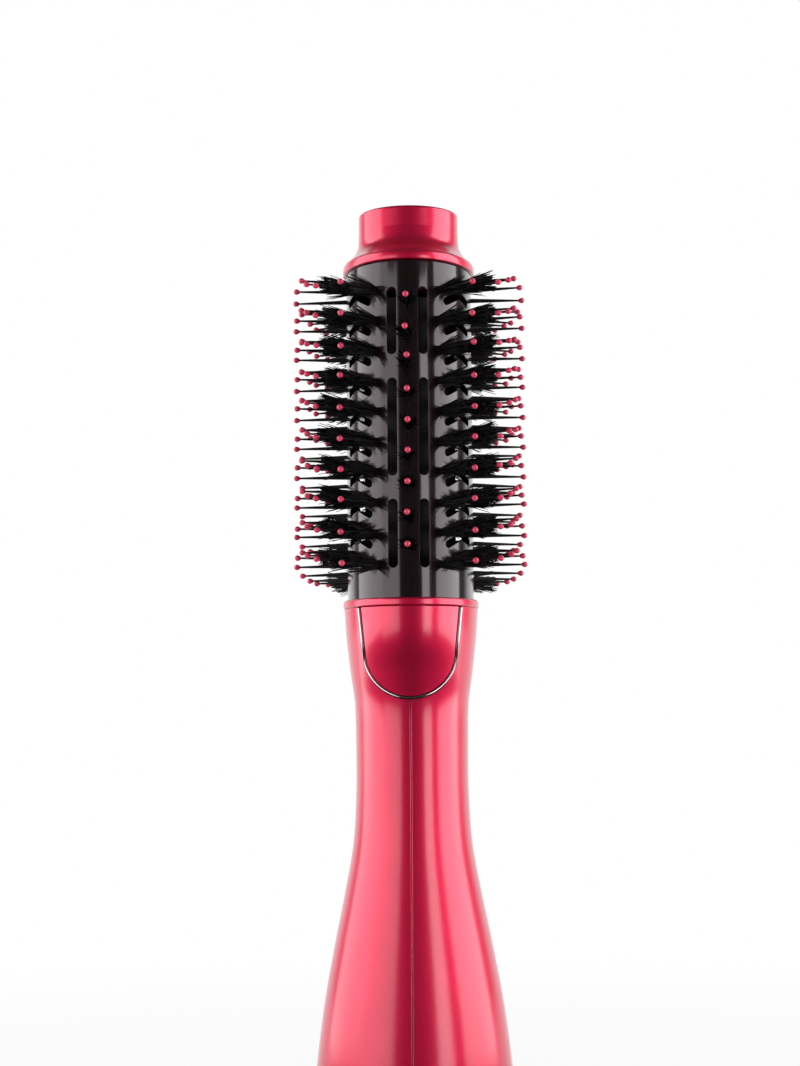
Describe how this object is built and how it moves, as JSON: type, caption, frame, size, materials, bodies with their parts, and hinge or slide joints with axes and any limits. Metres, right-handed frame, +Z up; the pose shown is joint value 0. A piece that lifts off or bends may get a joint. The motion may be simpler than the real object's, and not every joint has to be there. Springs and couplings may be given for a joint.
{
  "type": "hot air brush",
  "caption": "Handheld hot air brush: slotted oval barrel with ball-tipped pins and tufts, cool tip, flared two-shell handle with heater, motor, fan, dial and cord gland.",
  "frame": {"origin": "centre of the flat foot that the brush stands on", "axes": "+Z up the brush axis from foot to cool tip, -Y towards the front: the barrel's narrow, slotted edge and the handle's front inlay; X across the barrel's narrow width"},
  "size_m": [0.074, 0.09, 0.35],
  "materials": {
    "raspberry_lacquer": "metallic lacquer on moulded plastic, glossy",
    "gloss_black": "high gloss black",
    "black_nylon": "dull black nylon pins and bristle",
    "pink_tip": "dipped resin balls, glossy",
    "bright_trim": "bright plated",
    "satin_black": "satin black moulding",
    "dark_moulding": "dull dark grey moulding",
    "steel": "plain steel",
    "circuit_board": "green solder mask",
    "mica": "pressed mica sheet",
    "resistance_wire": "oxidised wire",
    "contact_brass": "plain spring brass"
  },
  "bodies": {
    "brush": {"barrel": "gloss_black", "bristles_right": "black_nylon", "bristles_left": "black_nylon", "bristles_front": "black_nylon", "bristles_back": "black_nylon", "pin_tips_right": "pink_tip", "pin_tips_left": "pink_tip", "pin_tips_front": "pink_tip", "pin_tips_back": "pink_tip", "tip_collar": "raspberry_lacquer", "cool_tip": "raspberry_lacquer", "neck_ring": "raspberry_lacquer", "barrel_socket": "dark_moulding", "neck_screws": "steel", "front_inlay": "raspberry_lacquer", "back_inlay": "raspberry_lacquer", "front_trim": "bright_trim", "back_trim": "bright_trim", "right_shell": "raspberry_lacquer", "left_shell": "raspberry_lacquer", "right_grille": "satin_black", "left_grille": "satin_black", "lint_filter": "steel", "fan_duct": "dark_moulding", "motor": "steel", "rectifier_board": "circuit_board", "rectifier_diodes": "dark_moulding", "heater_liner": "mica", "mica_frame": "mica", "heater_coil": "resistance_wire", "thermostat": "steel", "thermal_fuse": "steel", "base_cap": "satin_black", "base_screws": "steel", "switch_body": "dark_moulding"},
    "dial": {"control_dial": "satin_black", "dial_wiper": "contact_brass"},
    "fan": {"motor_shaft": "steel", "impeller": "dark_moulding"},
    "gland": {"cord_gland": "satin_black", "gland_clip": "steel"}
  },
  "joints": [
    {"name": "dial_turn", "type": "hinge", "parent": "brush", "child": "dial", "pos_m": [0, 0, 0.0157], "axis": [0, 0, 1], "range_deg": [0, 90]},
    {"name": "fan_spin", "type": "hinge", "parent": "brush", "child": "fan", "pos_m": [0, 0, 0.075], "axis": [0, 0, 1], "continuous": true},
    {"name": "gland_swivel", "type": "hinge", "parent": "brush", "child": "gland", "pos_m": [0, 0, 0.0058], "axis": [0, 0, 1], "continuous": true}
  ]
}
